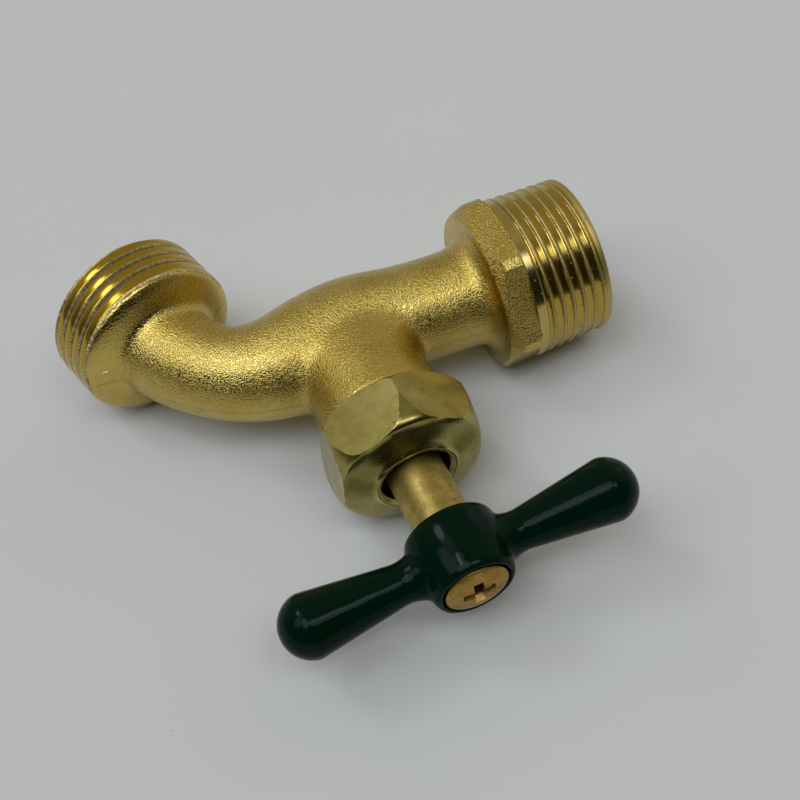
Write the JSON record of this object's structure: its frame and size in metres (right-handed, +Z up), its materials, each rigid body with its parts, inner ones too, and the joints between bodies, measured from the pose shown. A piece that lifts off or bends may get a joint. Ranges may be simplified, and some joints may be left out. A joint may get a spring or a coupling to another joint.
{
  "type": "garden tap",
  "caption": "Bent-nose garden tap: cast body with threaded pipe inlet, hexagon and hose-thread outlet, packing nut, screw-down stem and tee handle.",
  "frame": {"origin": "centre of the end face of the threaded inlet", "axes": "stored lying on its side as pictured: +X out of the inlet towards the supply pipe, the stem and handle point to -Y, the outlet points to +Y leaning to -X, +Z up from the surface it lies on. When installed on a wall, +Y is down and the handle is on top or in front."},
  "size_m": [0.0829, 0.0763, 0.027],
  "materials": {
    "cast_brass": "satin cast skin with a fine blasted grain, threads machined bright",
    "nut_brass": "satin machined",
    "stem_brass": "turned, dull",
    "inner_brass": "machined",
    "handle_enamel": "glossy dark green enamel",
    "screw_brass": "scuffed",
    "seat_rubber": "matt",
    "packing": "graphited packing"
  },
  "bodies": {
    "tap_body": {"body_casting": "cast_brass", "bonnet_nut": "nut_brass", "gland_follower": "inner_brass", "packing_ring_upper": "packing", "packing_ring_lower": "packing", "packing_washer": "inner_brass"},
    "valve": {"washer_holder": "inner_brass", "holder_ring": "inner_brass", "seat_washer": "seat_rubber", "washer_plate": "inner_brass", "washer_screw": "inner_brass"},
    "spindle": {"stem": "stem_brass", "tee_handle": "handle_enamel", "handle_screw": "screw_brass"}
  },
  "joints": [
    {"name": "stem_rise", "type": "slide", "parent": "tap_body", "child": "valve", "axis": [0, -1, 0], "range_m": [0, 0.005]},
    {"name": "handle_turn", "type": "hinge", "parent": "valve", "child": "spindle", "pos_m": [-0.0407, 0, 0], "axis": [0, -1, 0], "range_deg": [0, 720]}
  ],
  "couplings": [
    {"joint": "stem_rise", "follows": "handle_turn", "m_per_rad": 0.00039789}
  ]
}
